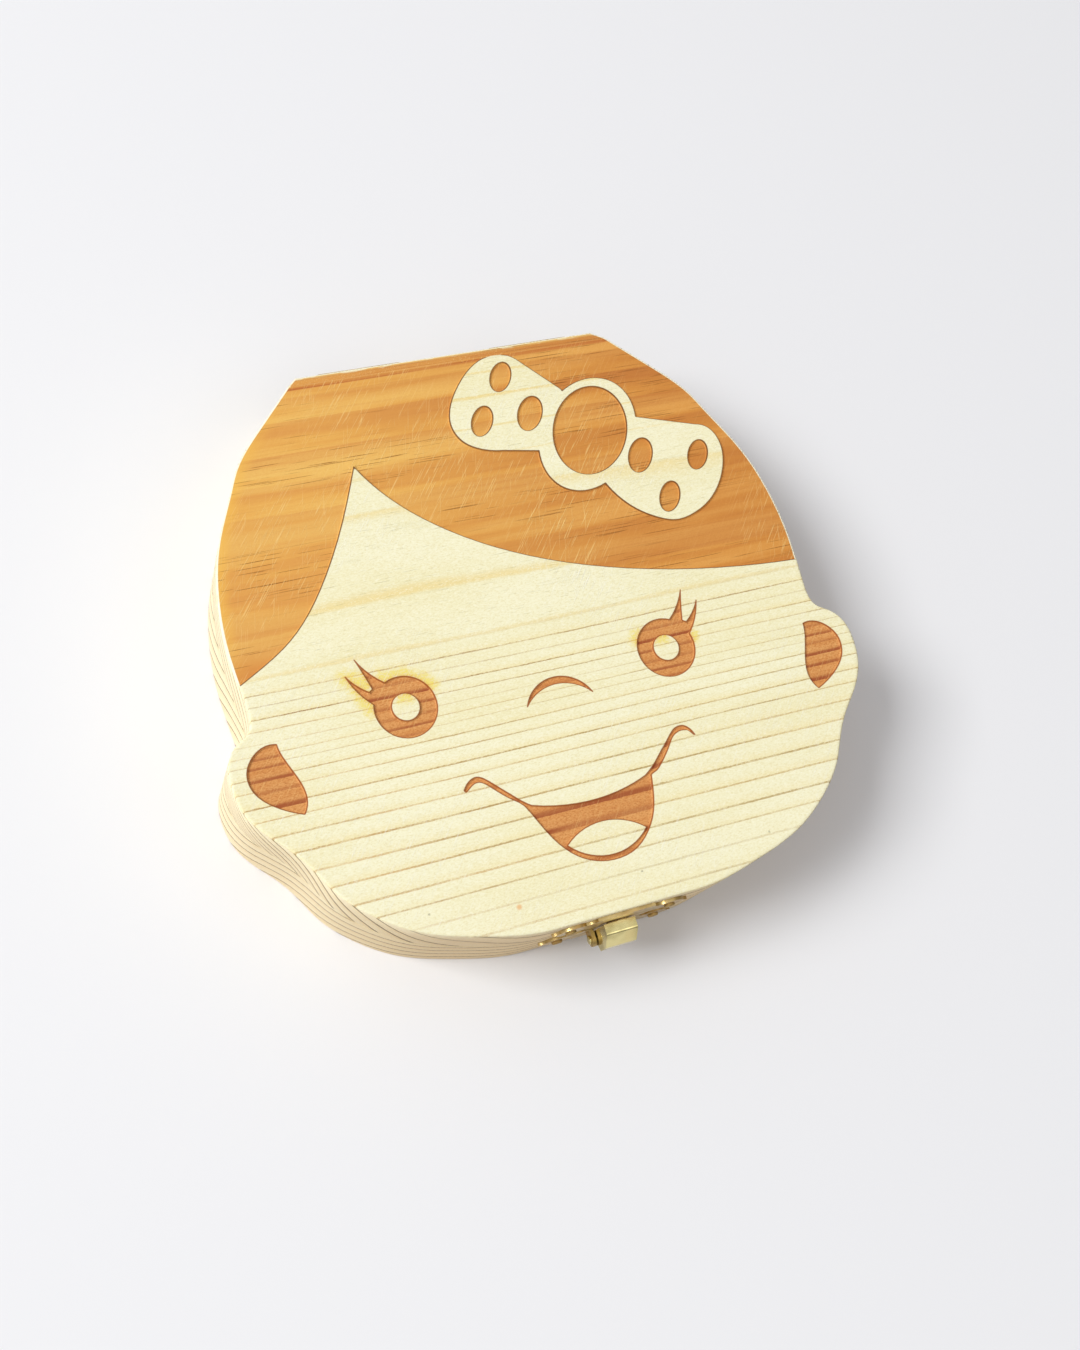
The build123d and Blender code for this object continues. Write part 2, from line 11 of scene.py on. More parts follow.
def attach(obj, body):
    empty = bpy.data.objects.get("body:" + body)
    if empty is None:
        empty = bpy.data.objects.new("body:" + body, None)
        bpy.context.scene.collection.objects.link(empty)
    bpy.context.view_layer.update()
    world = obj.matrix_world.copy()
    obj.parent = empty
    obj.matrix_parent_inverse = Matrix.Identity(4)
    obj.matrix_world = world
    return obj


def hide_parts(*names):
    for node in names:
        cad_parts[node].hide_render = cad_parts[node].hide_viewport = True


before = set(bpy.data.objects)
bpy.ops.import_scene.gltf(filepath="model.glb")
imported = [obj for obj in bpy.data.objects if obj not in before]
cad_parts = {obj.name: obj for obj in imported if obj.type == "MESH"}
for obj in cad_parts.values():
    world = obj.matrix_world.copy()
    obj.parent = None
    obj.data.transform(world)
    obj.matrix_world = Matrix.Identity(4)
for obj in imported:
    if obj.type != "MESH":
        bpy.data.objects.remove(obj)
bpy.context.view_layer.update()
mm = 0.001  # sizes and places below are in millimetres
print("frame loaded:", len(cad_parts), "nodes")


# Shader helpers

def sRgb(red, green, blue):
    # a colour as it is written on screen, 0 to 255, made linear
    parts = [channel / 255 for channel in (red, green, blue)]
    linear = [part / 12.92 if part <= 0.04045 else ((part + 0.055) / 1.055) ** 2.4 for part in parts]
    return (*linear, 1.0)


class Flow:
    # one value in a node tree: sums of flows and numbers add Math nodes
    def __init__(self, paint, socket):
        self.paint = paint
        self.socket = socket

    def sum(self, operation, first, second):
        return self.paint.node("ShaderNodeMath", {"operation": operation}, {0: first, 1: second})

    def __add__(self, other):
        return self.sum("ADD", self, other)

    def __radd__(self, other):
        return self.sum("ADD", other, self)

    def __sub__(self, other):
        return self.sum("SUBTRACT", self, other)

    def __rsub__(self, other):
        return self.sum("SUBTRACT", other, self)

    def __mul__(self, other):
        return self.sum("MULTIPLY", self, other)

    def __rmul__(self, other):
        return self.sum("MULTIPLY", other, self)

    def __truediv__(self, other):
        return self.sum("DIVIDE", self, other)

    def __pow__(self, other):
        return self.sum("POWER", self, other)

    def __abs__(self):
        return self.sum("ABSOLUTE", self, 0.0)


class Paint:
    # the node tree of a material or a world: one method adds its nodes, the others shorten common calls
    def __init__(self, owner):
        owner.use_nodes = True
        self.owner = owner
        self.tree = owner.node_tree

    def node(self, kind, settings, inputs, output=0):
        made = self.tree.nodes.new(kind)
        for name, value in settings.items():
            if name == "stops":
                self.setStops(made.color_ramp, value)
            elif name == "curve":
                self.setCurve(made.mapping, value)
            else:
                setattr(made, name, value)
        self.feed(made, inputs)
        return Flow(self, made.outputs[output])

    def feed(self, made, inputs):
        for name, value in inputs.items():
            if isinstance(value, Flow):
                self.tree.links.new(value.socket, made.inputs[name])
            else:
                made.inputs[name].default_value = value

    def setStops(self, ramp, stops):
        # each stop's grey holds as far as the next stop
        ramp.interpolation = "CONSTANT"
        while len(ramp.elements) < len(stops):
            ramp.elements.new(1.0)
        for element, (position, grey) in zip(ramp.elements, stops):
            element.position = position
            element.color = (grey, grey, grey, 1.0)

    def setCurve(self, mapping, points):
        curve = mapping.curves[0]
        while len(curve.points) < len(points):
            curve.points.new(0.5, 0.5)
        for point, (position, height) in zip(curve.points, points):
            point.location = (position, height)
            point.handle_type = "VECTOR"
        mapping.update()

    def finish(self, **sockets):
        shader = self.tree.nodes["Principled BSDF"]
        self.feed(shader, {name.replace("_", " "): value for name, value in sockets.items()})
        return self.owner

    def place(self):
        # the place on the piece, in millimetres
        spot = self.node("ShaderNodeTexCoord", {}, {}, "Object")
        return self.scaled(spot, (1 / mm, 1 / mm, 1 / mm))

    def vectorSum(self, operation, first, second, output=0):
        return self.node("ShaderNodeVectorMath", {"operation": operation}, {0: first, 1: second}, output)

    def scaled(self, vector, factors):
        return self.vectorSum("MULTIPLY", vector, factors)

    def shifted(self, vector, offset):
        # a pattern read from elsewhere, so that two of them don't run alike
        return self.vectorSum("ADD", vector, offset)

    def turned(self, vector, angle):
        settings = {"rotation_type": "Z_AXIS"}
        return self.node("ShaderNodeVectorRotate", settings, {"Vector": vector, "Angle": radians(angle)})

    def along(self, vector, direction):
        return self.vectorSum("DOT_PRODUCT", vector, direction, "Value")

    def awayFrom(self, vector, spot):
        return self.vectorSum("DISTANCE", vector, spot, "Value")

    def part(self, vector, axis):
        return self.node("ShaderNodeSeparateXYZ", {}, {0: vector}, axis)

    def noise(self, vector, factors, detail=2.0, roughness=0.5):
        stretched = self.scaled(vector, factors)
        inputs = {"Vector": stretched, "Scale": 1.0, "Detail": detail, "Roughness": roughness}
        return self.node("ShaderNodeTexNoise", {}, inputs)

    def rise(self, value, low, high):
        # 0 at low, 1 at high, smooth between them
        settings = {"interpolation_type": "SMOOTHSTEP"}
        return self.node("ShaderNodeMapRange", settings, {0: value, 1: low, 2: high, 3: 0.0, 4: 1.0})

    def fall(self, value, low, high):
        # 1 at low, 0 at high
        return 1 - self.rise(value, low, high)

    def between(self, value, low, full, fading, high):
        # 0 at low, 1 from full to fading, 0 again at high
        return self.rise(value, low, full) * self.fall(value, fading, high)

    def mix(self, factor, first, second, blend="MIX"):
        settings = {"data_type": "RGBA", "blend_type": blend}
        return self.node("ShaderNodeMix", settings, {0: factor, 6: first, 7: second}, 2)

    def attribute(self, name):
        return self.node("ShaderNodeAttribute", {"attribute_name": name}, {}, "Fac")

    def isRay(self, kind):
        # 1 for a ray of that kind, such as Camera or Glossy, and 0 for others
        return self.node("ShaderNodeLightPath", {}, {}, "Is " + kind + " Ray")

    def normal(self):
        return self.node("ShaderNodeTexCoord", {}, {}, "Normal")

    def steep(self):
        # 1 on upright faces, 0 on flat ones
        return self.fall(abs(self.part(self.normal(), 2)), 0.3, 0.6)

    def bump(self, height, depth):
        return self.node("ShaderNodeBump", {}, {"Strength": 1.0, "Distance": depth * mm, "Height": height})


# Camera and stage

camera = {
    # worked out from the head's outline in the picture, which is taken as 1080 x 1350
    "place": (-95.2, -78.3, 284.4),
    "turn": (19.166, -14.523, -17.802),
    "lens": 42.67,
    "nearest": 1.0,  # nothing nearer than this is drawn
}
studio = {
    "floorSize": 3000.0,
    "floorLevel": -0.05,  # clear of the box's own underside
    "floorColour": (236, 237, 239),
    "floorBounce": (218, 184, 154),  # what the floor casts back on the box
    "floorRoughness": 0.9,
    "floorGloss": 0.1,
    "backdrop": (240, 241, 244),
    "brightWall": (250, 251, 255),  # the room above the head and to its left
    "dimWall": (214, 190, 168),  # and to its right
    "brightFrom": (-0.5, 0.12, 0.86),
    "brightReach": (-0.5, 0.95),  # how far a direction leans to the bright wall, from dim to bright
    # the room's strength towards the dim wall and towards the bright one
    "lightStrength": (0.11, 0.6),
    "seenStrength": (0.72, 1.0),
    "mirroredStrength": (0.2, 1.2),
    "keyPlace": (-1540.0, 420.0, 1500.0),
    "keySize": 900.0,
    "keyPower": 38.5,
    "fillPlace": (300.0, -300.0, 700.0),
    "fillSize": 400.0,
    "fillPower": 0.5,
}


def setCamera():
    view = bpy.data.cameras.new("camera")
    view.lens = camera["lens"]
    view.clip_start = camera["nearest"] * mm
    shown = bpy.data.objects.new("camera", view)
    shown.location = Vector(camera["place"]) * mm
    shown.rotation_euler = [radians(angle) for angle in camera["turn"]]
    bpy.context.scene.collection.objects.link(shown)
    bpy.context.scene.camera = shown


def layFloor():
    half = studio["floorSize"] * mm / 2
    level = studio["floorLevel"] * mm
    corners = [(-half, -half, level), (half, -half, level), (half, half, level), (-half, half, level)]
    sheet = bpy.data.meshes.new("floor")
    sheet.from_pydata(corners, [], [(0, 1, 2, 3)])
    floor = bpy.data.objects.new("floor", sheet)
    bpy.context.scene.collection.objects.link(floor)
    paint = Paint(bpy.data.materials.new("floor"))
    seen = paint.isRay("Camera") + paint.isRay("Glossy") + paint.isRay("Transmission")
    shade = paint.mix(seen, sRgb(*studio["floorBounce"]), sRgb(*studio["floorColour"]))
    sheet.materials.append(paint.finish(Base_Color=shade, Roughness=studio["floorRoughness"],
                                        Specular_IOR_Level=studio["floorGloss"]))


def setRoom():
    # the room's light is uneven, and what the camera and the brass see of it is paler
    world = bpy.data.worlds.new("studio")
    bpy.context.scene.world = world
    paint = Paint(world)
    towards = paint.node("ShaderNodeTexCoord", {}, {}, "Generated")
    bright = paint.rise(paint.along(towards, studio["brightFrom"]), *studio["brightReach"])

    def strengthOf(name):
        atDim, atBright = studio[name]
        return atDim + (atBright - atDim) * bright

    seen = paint.isRay("Camera") + paint.isRay("Transmission")
    mirrored = paint.isRay("Glossy")
    colour = paint.mix(bright, sRgb(*studio["dimWall"]), sRgb(*studio["brightWall"]))
    colour = paint.mix(seen + mirrored, colour, sRgb(*studio["backdrop"]))
    strength = strengthOf("lightStrength") * (1 - seen - mirrored)
    strength = strength + strengthOf("seenStrength") * seen + strengthOf("mirroredStrength") * mirrored
    paint.feed(paint.tree.nodes["Background"], {"Color": colour, "Strength": strength})


def addLamp(name, place, size, power):
    lamp = bpy.data.lights.new(name, "AREA")
    lamp.size = size * mm
    lamp.energy = power
    shown = bpy.data.objects.new(name, lamp)
    shown.location = Vector(place) * mm
    shown.rotation_euler = (-shown.location).to_track_quat("-Z", "Y").to_euler()
    bpy.context.scene.collection.objects.link(shown)


setCamera()
layFloor()
setRoom()
for name in ("key", "fill"):
    addLamp(name, studio[name + "Place"], studio[name + "Size"], studio[name + "Power"])
bpy.context.scene.view_settings.view_transform = "Standard"
print("stage set")


# Lid: the engraved board, read from the CAD lid and built again as a fine surface

lid = {
    "edgeRound": 0.25,
    "engravingDepth": 0.4,
    "bevelReach": 2.9,  # of the planed strip along the hinge edge
    "bevelDrop": 1.6,
    "wallReach": 0.2,  # an engraved wall leans in by this much
    "figureStep": 0.35,
    "outlineStep": 0.7,
    "gridStep": 1.7,
    "gridRise": 0.87,  # from row to row, as a share of the step
    # rows of points beside the engraved walls, outside positive, and inside the outline, each with the
    # share of its offset that a point has to be away from any run
    "figureRows": (0.1, -0.2, -0.34, 0.3, -0.65, 0.7, -1.2, 1.3, 2.4),
    "figureShare": 0.9,
    "outlineRows": (0.04, 0.1, 0.17, 0.25, 0.6),
    "outlineShare": 0.95,
    "wallLevels": (1.0, 0.66, 0.33),  # shares of the height of the outer wall
    "roundSteps": 4,
    "farthest": 4.0,  # distances are measured no farther than this
    "innerStep": 6.0,
    "innerReach": 60.0,
    "innerClear": 1.0,
    # the small figures, so not the hair, lie below a line across the face, and at the ears below another
    "figuresBelow": 0.8,
    "earMarksBelow": -5.0,
    "earsFrom": 50.0,
    # how near counts as the same: corners that are merged, levels, lines, and points at the rim
    "readMerge": 0.002,
    "madeMerge": 0.003,
    "sameLevel": 0.01,
    "sameLine": 0.05,
    "atRim": 0.02,
    "besideRim": 0.15,  # where the face just inside the rim is looked up
    "probe": 0.01,  # how far beside a run its outside is looked up
    "decimals": 5,  # corners that agree as far as this are one
    # how far loose points keep from the outline and from engraved walls
    "outlineClear": 0.03,
    "wallClear": 0.05,
    "blockSize": 30,  # segments worked on at once
}


def mergedCopy(node):
    # the node's corners in mm and its triangles, with doubled corners merged
    copy = bmesh.new()
    copy.from_mesh(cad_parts[node].data)
    bmesh.ops.remove_doubles(copy, verts=copy.verts[:], dist=lid["readMerge"] * mm)
    bmesh.ops.triangulate(copy, faces=copy.faces[:])
    mesh = bpy.data.meshes.new("merged")
    copy.to_mesh(mesh)
    copy.free()
    corners = np.zeros(len(mesh.vertices) * 3)
    mesh.vertices.foreach_get("co", corners)
    triangles = np.zeros(len(mesh.polygons) * 3, int)
    mesh.loops.foreach_get("vertex_index", triangles)
    bpy.data.meshes.remove(mesh)
    return corners.reshape(-1, 3) / mm, triangles.reshape(-1, 3)


def edgesOf(triangles):
    # each edge once, and how many of the triangles have it
    edges = np.concatenate([triangles[:, [0, 1]], triangles[:, [1, 2]], triangles[:, [2, 0]]])
    return np.unique(np.sort(edges, axis=1), axis=0, return_counts=True)


def rimOf(triangles):
    # edges that only one of the triangles has
    edges, count = edgesOf(triangles)
    return edges[count == 1]


def finer(starts, ends, step):
    # each segment cut into equal runs no longer than the step, as starts and ends
    runs = np.maximum(np.ceil(np.linalg.norm(ends - starts, axis=1) / step).astype(int), 1)
    which = np.repeat(np.arange(len(runs)), runs)
    place = np.arange(len(which)) - np.repeat(np.cumsum(runs) - runs, runs)
    first = (place / runs[which])[:, None]
    last = ((place + 1) / runs[which])[:, None]
    reach = (ends - starts)[which]
    return starts[which] + reach * first, starts[which] + reach * last


def distanceTo(points, starts, ends):
    # shortest distance from each point to any of the segments, as far as the farthest that counts
    farthest = lid["farthest"]
    nearest = np.full(len(points), farthest)
    reach = ends - starts
    lengths = np.maximum((reach ** 2).sum(1), 1e-12)
    order = np.lexsort((starts[:, 0] // farthest, starts[:, 1] // farthest))
    for block in np.array_split(order, max(len(order) // lid["blockSize"], 1)):
        low = np.minimum(starts[block], ends[block]).min(0) - farthest
        high = np.maximum(starts[block], ends[block]).max(0) + farthest
        near = ((points > low) & (points < high)).all(1).nonzero()[0]
        apart = points[near][:, None, :] - starts[None, block]
        along = np.clip((apart * reach[block]).sum(2) / lengths[block], 0, 1)
        gap = apart - along[..., None] * reach[block]
        nearest[near] = np.minimum(nearest[near], np.sqrt((gap ** 2).sum(2)).min(1))
    return nearest


def insideOf(points, starts, ends):
    # whether a ray along +X from each point crosses the closed loops an odd number of times
    crossings = np.zeros(len(points), int)
    order = np.argsort(starts[:, 1] + ends[:, 1])
    for block in np.array_split(order, max(len(order) // lid["blockSize"], 1)):
        low, high = starts[block], ends[block]
        level = points[:, 1] >= min(low[:, 1].min(), high[:, 1].min())
        level &= points[:, 1] <= max(low[:, 1].max(), high[:, 1].max())
        near = level.nonzero()[0]
        y = points[near, 1][:, None]
        spans = (low[:, 1] > y) != (high[:, 1] > y)
        rise = np.where(high[:, 1] == low[:, 1], 1e-12, high[:, 1] - low[:, 1])
        cut = low[:, 0] + (y - low[:, 1]) * (high[:, 0] - low[:, 0]) / rise
        crossings[near] += (spans & (cut > points[near, 0][:, None])).sum(1)
    return crossings % 2 == 1


def outwardOf(starts, ends):
    # each segment's unit normal, turned to point out of the closed loop
    reach = ends - starts
    normal = np.stack([reach[:, 1], -reach[:, 0]], axis=1) / np.linalg.norm(reach, axis=1)[:, None]
    probe = (starts + ends) / 2 + normal * lid["probe"]
    return np.where(insideOf(probe, starts, ends)[:, None], -normal, normal)


def beside(starts, ends, offset):
    # the middles of the segments, moved out by the offset
    return (starts + ends) / 2 + outwardOf(starts, ends) * offset


def facing(corners, triangles, up):
    # the triangles with their corners in the order that turns their faces up, or down
    places = corners[triangles][..., :2]
    side1, side2 = places[:, 1] - places[:, 0], places[:, 2] - places[:, 0]
    wrong = (side1[:, 0] * side2[:, 1] - side1[:, 1] * side2[:, 0] < 0) == up
    triangles[wrong] = triangles[wrong][:, ::-1]
    return triangles


def triangulated(points, starts, ends, up):
    # Delaunay triangles through all the points inside the segments' loop, with the segments as edges
    everything = np.concatenate([starts, ends, points])
    corners, index = np.unique(np.round(everything, lid["decimals"]), axis=0, return_inverse=True)
    index = index.ravel()
    edges = np.stack([index[:len(starts)], index[len(starts):2 * len(starts)]], axis=1)
    made = delaunay_2d_cdt(corners.tolist(), edges.tolist(), [], 0, 1e-6, False)
    corners, triangles = np.array(made[0]), np.array(made[2])
    return corners, facing(corners, triangles, up)


def nearestOf(points, others):
    # for each point, which of the others is nearest
    return ((points[:, None, :] - others[None]) ** 2).sum(2).argmin(1)


def readLid():
    # the outline at the foot of the wall, and the rims of the engraved floors
    corners, triangles = mergedCopy("lid_board")
    low, high = corners[:, 2].min(), corners[:, 2].max()
    atFoot = np.abs(corners[:, 2] - (low + lid["edgeRound"])) < lid["sameLevel"]
    edges = edgesOf(triangles)[0]
    outline = edges[atFoot[edges].all(1)]
    onFloor = np.abs(corners[:, 2] - (high - lid["engravingDepth"])) < lid["sameLevel"]
    figures = rimOf(triangles[onFloor[triangles].all(1)])
    return corners[:, :2], outline, figures, low, high


def lidHeight(points, shape):
    # the face is flat, rounded down at its outline, planed along the hinge edge and sunk in the figures
    inward = np.clip(shape["edge"], 0, lid["edgeRound"])
    rounded = lid["edgeRound"] - np.sqrt(lid["edgeRound"] ** 2 - (lid["edgeRound"] - inward) ** 2)
    sunk = lid["engravingDepth"] * np.clip(shape["cut"] / lid["wallReach"], 0, 1) * shape["engraved"]
    planed = (points[:, 1] - shape["bevelStart"]) * lid["bevelDrop"] / lid["bevelReach"]
    return shape["top"] - np.maximum.reduce([rounded, sunk, planed])


def facePoints(flat, outline, figures, walls, lines):
    # points of the face: rows beside the engraved walls and the outline, a grid, and rows along the
    # planed strip
    kept = []
    for offset in lid["figureRows"]:
        row = beside(*figures, offset)[walls["which"]]
        kept.append(row[distanceTo(row, *walls["runs"]) > lid["figureShare"] * abs(offset)])
    for offset in lid["outlineRows"]:
        row = beside(*outline, -offset)
        kept.append(row[distanceTo(row, *outline) > lid["outlineShare"] * offset])
    across = np.arange(flat[:, 0].min(), flat[:, 0].max(), lid["gridStep"])
    up = np.arange(flat[:, 1].min(), flat[:, 1].max(), lid["gridStep"] * lid["gridRise"])
    gridX, gridY = np.meshgrid(across, up)
    gridX = gridX + (np.arange(len(up)) % 2)[:, None] * lid["gridStep"] / 2
    kept.append(np.stack([gridX.ravel(), gridY.ravel()], axis=1))
    for line in lines:
        kept.append(np.stack([across, np.full(len(across), line)], axis=1))
    points = np.concatenate(kept)
    clear = insideOf(points, *outline) & (distanceTo(points, *outline) > lid["outlineClear"])
    return points[clear & (distanceTo(points, *walls["runs"]) > lid["wallClear"])]


def ringOf(starts, ends):
    # a closed outline as a ring of corners, its edges in one direction, and the way out at each corner
    everything = np.concatenate([starts, ends])
    rim, index = np.unique(np.round(everything, lid["decimals"]), axis=0, return_inverse=True)
    index = index.ravel()
    pairs = np.stack([index[:len(starts)], index[len(starts):]], axis=1)
    normal, forward = outwardOf(starts, ends), ends - starts
    flips = normal[:, 0] * forward[:, 1] - normal[:, 1] * forward[:, 0] < 0
    pairs[flips] = pairs[flips][:, ::-1]
    out = np.zeros_like(rim)
    np.add.at(out, pairs[:, 0], normal)
    np.add.at(out, pairs[:, 1], normal)
    return rim, pairs, out / np.linalg.norm(out, axis=1)[:, None]


def wallUnder(rim, pairs, out, rimTop, low):
    # the outer wall: straight down from the face, then a quarter circle under to the inner face
    turns = np.radians(np.linspace(0, 90, lid["roundSteps"]))
    straight = [rimTop * share + low * (1 - share) for share in lid["wallLevels"]]
    rounded = [np.full(len(rim), low + drop) for drop in lid["edgeRound"] * (1 - np.sin(turns))]
    insets = np.concatenate([[0] * len(straight), lid["edgeRound"] * (1 - np.cos(turns))])
    rows = [np.column_stack([rim - out * inset, level]) for inset, level in zip(insets, straight + rounded)]
    triangles = []
    for row in range(len(rows) - 1):
        upper, lower = pairs + row * len(rim), pairs + (row + 1) * len(rim)
        triangles.append(np.column_stack([upper[:, 1], upper[:, 0], lower[:, 0]]))
        triangles.append(np.column_stack([upper[:, 1], lower[:, 0], lower[:, 1]]))
    return np.concatenate(rows), np.concatenate(triangles)


def innerFace(rim, pairs, out, low):
    # the flat face that meets the base, on a coarse grid
    inset = rim - out * lid["edgeRound"]
    starts, ends = inset[pairs[:, 0]], inset[pairs[:, 1]]
    steps = np.arange(-lid["innerReach"], lid["innerReach"], lid["innerStep"])
    gridX, gridY = np.meshgrid(steps, steps)
    points = np.stack([gridX.ravel(), gridY.ravel()], axis=1)
    points = points[insideOf(points, starts, ends) & (distanceTo(points, starts, ends) > lid["innerClear"])]
    corners, triangles = triangulated(points, starts, ends, False)
    triangles = triangles[insideOf(corners[triangles].mean(1), starts, ends)]
    return np.column_stack([corners, np.full(len(corners), low)]), triangles


def meshOf(name, parts, faceValues):
    # one closed mesh of (corners, triangles) parts, with values at the corners of the first of them
    starts = np.cumsum([0] + [len(corners) for corners, triangles in parts])
    corners = np.concatenate([corners for corners, triangles in parts]) * mm
    triangles = np.concatenate([part[1] + start for part, start in zip(parts, starts)])
    mesh = bpy.data.meshes.new(name)
    mesh.from_pydata(corners.tolist(), [], triangles.tolist())
    for key, (onFace, elsewhere) in faceValues.items():
        layer = mesh.attributes.new(key, "FLOAT", "POINT")
        rest = np.full(len(corners) - starts[1], elsewhere)
        layer.data.foreach_set("value", np.concatenate([onFace, rest]).astype(np.float32))
    merged = bmesh.new()
    merged.from_mesh(mesh)
    bmesh.ops.remove_doubles(merged, verts=merged.verts[:], dist=lid["madeMerge"] * mm)
    merged.to_mesh(mesh)
    merged.free()
    mesh.polygons.foreach_set("use_smooth", np.ones(len(mesh.polygons), bool))
    return mesh


def buildLid():
    # the face, the outer wall and the inner face, as one closed mesh
    flat, outlineEdges, figureEdges, low, top = readLid()
    outline = finer(flat[outlineEdges[:, 0]], flat[outlineEdges[:, 1]], lid["outlineStep"])
    figures = finer(flat[figureEdges[:, 0]], flat[figureEdges[:, 1]], lid["figureStep"])
    bevelStart = flat[outlineEdges.ravel(), 1].max() - lid["bevelReach"]
    # the planed strip cuts the engraved floors here
    floorBevel = bevelStart + lid["engravingDepth"] * lid["bevelReach"] / lid["bevelDrop"]

    # engraved walls are the rims that don't run along the outline or the planed edge
    middles = (figures[0] + figures[1]) / 2
    isWall = distanceTo(middles, *outline) > lid["sameLine"]
    isWall &= np.abs(middles[:, 1] - floorBevel) > lid["sameLine"]
    walls = {"which": isWall, "runs": (figures[0][isWall], figures[1][isWall])}
    print("lid read:", len(outline[0]), "outline runs,", isWall.sum(), "engraved runs")

    points = facePoints(flat, outline, figures, walls, (bevelStart, floorBevel))
    starts, ends = (np.concatenate([around, wall]) for around, wall in zip(outline, walls["runs"]))
    corners, triangles = triangulated(points, starts, ends, True)
    triangles = triangles[insideOf(corners[triangles].mean(1), *outline)]

    # a corner on the outline is engraved where the face just inside it is
    rim, pairs, out = ringOf(*outline)
    edge = distanceTo(corners, *outline)
    cut = distanceTo(corners, *walls["runs"])
    atRim = np.flatnonzero(edge < lid["atRim"])
    judged = corners.copy()
    judged[atRim] -= out[nearestOf(corners[atRim], rim)] * lid["besideRim"]
    engraved = insideOf(judged, *figures)
    shape = {"edge": edge, "cut": cut, "engraved": engraved, "top": top, "bevelStart": bevelStart}
    face = np.column_stack([corners, lidHeight(corners, shape)])
    rimTop = face[atRim[nearestOf(rim, corners[atRim])], 2]
    print("lid face:", len(face), "points,", len(triangles), "triangles")

    # what the paint needs to know at each corner
    far = lid["farthest"]
    cutDistance = np.minimum(np.where(engraved, -cut, cut), floorBevel - corners[:, 1])
    isEar = np.abs(corners[:, 0]) >= lid["earsFrom"]
    smallFigure = corners[:, 1] < np.where(isEar, lid["earMarksBelow"], lid["figuresBelow"])
    faceValues = {"cutDistance": (np.clip(cutDistance, -far, far), far), "edgeDistance": (edge, 0.0),
                  "smallFigure": (smallFigure, 0.0)}
    parts = [(face, triangles), wallUnder(rim, pairs, out, rimTop, low), innerFace(rim, pairs, out, low)]
    piece = bpy.data.objects.new("engraved_lid", meshOf("engravedLid", parts, faceValues))
    bpy.context.scene.collection.objects.link(piece)
    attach(piece, "lid")
    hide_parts("lid_board")
    print("lid built:", len(piece.data.polygons), "triangles")
    return piece, top, bevelStart


engravedLid, faceTop, bevelStart = buildLid()


# Pine: growth rings round a pith line along X, so that lines on the face run on down the sides

lidPine = {
    "pithY": 19.5,
    "pithDepth": 55.0,  # below the face
    "slope": 0.0075,  # the lines fall a little from left to right
    "innerRings": (44.0, 46.4, 48.6, 50.9, 53.2),  # distances from the pith that never reach the face
    "ringReach": (40.0, 92.0),  # the least and the most distance from the pith in this board
    "innerStrength": 0.7,
    "outerSpacing": 2.4,  # of the rings beyond the last line
    "spareRings": 6,  # room in the count for those
    "uneven": 0.45,  # how much of the wander and the shiver the rings show
    "ragged": 0.11,  # how much the grain frays the late wood's edges
    # where each line crosses the face, and how strong it is
    "chinLines": ((9.5, 0.8), (-0.4, 0.6), (-3.0, 0.9), (-5.0, 0.5), (-7.2, 1.0), (-9.2, 0.8), (-11.3, 0.45),
                  (-13.1, 0.75), (-14.7, 0.6), (-17.0, 0.85), (-19.2, 0.8), (-22.1, 1.0), (-24.5, 0.85),
                  (-27.6, 0.9), (-30.9, 1.0), (-34.5, 0.9), (-37.8, 0.95), (-41.6, 0.85), (-44.5, 0.75),
                  (-48.2, 0.4), (-52.0, 0.55)),
    "crownLines": ((27.5, 0.7), (34.0, 0.5), (39.5, 0.9), (45.8, 1.0), (50.5, 0.8), (53.6, 1.0)),
    "worn": (9.0, 12.5),  # where the cutter marks are thickest
    "wornReach": (5.0, 13.0),
    # the lamp's direction, used for the painted shade on engraved walls that face it
    "litFrom": (-0.8, 0.5, 0.35),
    # the cutter marks' lean, the noise between which they come up, their shift and their strength
    "marks": ((50.0, (0.6, 0.68), 0.0, 1.0), (74.0, (0.645, 0.7), 40.0, 0.6)),
    # where a look comes or goes, along X
    "leftLines": (-42.0, 5.0),
    "rightHair": (-42.0, 46.0),
    "tipAlong": (-30.0, -10.0),
    "glowAlong": (-46.0, -30.0),
    # up the face
    "upperLines": (-14.0, -4.0),
    "foreheadLines": (-1.6, 0.6),
    "tipUp": (2.0, 16.0),
    # inwards from the outline
    "sideIn": (0.2, 0.3),
    "glowIn": (0.3, 2.8),
    "stainIn": (0.2, 0.32),
    "bareRimAndHighlightIn": (0.12, 0.4),
    "burntIn": (0.1, 0.24),
    # across an engraved wall, where below 0 is inside the figure
    "cutLine": (-0.04, 0.04),
    "burntLine": (-0.16, -0.06, 0.04, 0.17),
    # up the planed strip from its crease
    "crease": (-0.15, 0.1, 0.4, 0.7),
    "burntUp": (0.4, 0.7),
    "stripLines": (0.9, 1.1),
    "stripTop": (1.9, 2.7),
    # single spots: middle, size and colour
    "specks": (((-18.6, -48.6), 0.9, "resin"), ((30.0, -47.6), 0.5, "speck"), ((4.5, -48.3), 0.5, "speck"),
               ((-33.9, -45.8), 0.5, "speck")),
    # where the engraving scorched the bare wood: middle, reach and strength
    "scorched": (((-34.3, -4.5), 2.7, 0.9), ((-34.5, -8.4), 3.0, 0.85), ((-38.4, -8.2), 2.2, 0.6),
                 ((-36.8, -3.0), 2.6, 0.6), ((-29.4, -4.4), 2.7, 0.8), ((-26.0, -4.0), 2.4, 0.7),
                 ((-22.6, -6.2), 3.0, 0.9), ((-27.3, -8.6), 2.0, 0.8), ((17.6, -7.0), 2.4, 0.7),
                 ((28.4, -9.2), 1.9, 0.75), ((22.4, -8.2), 2.0, 0.8)),
}
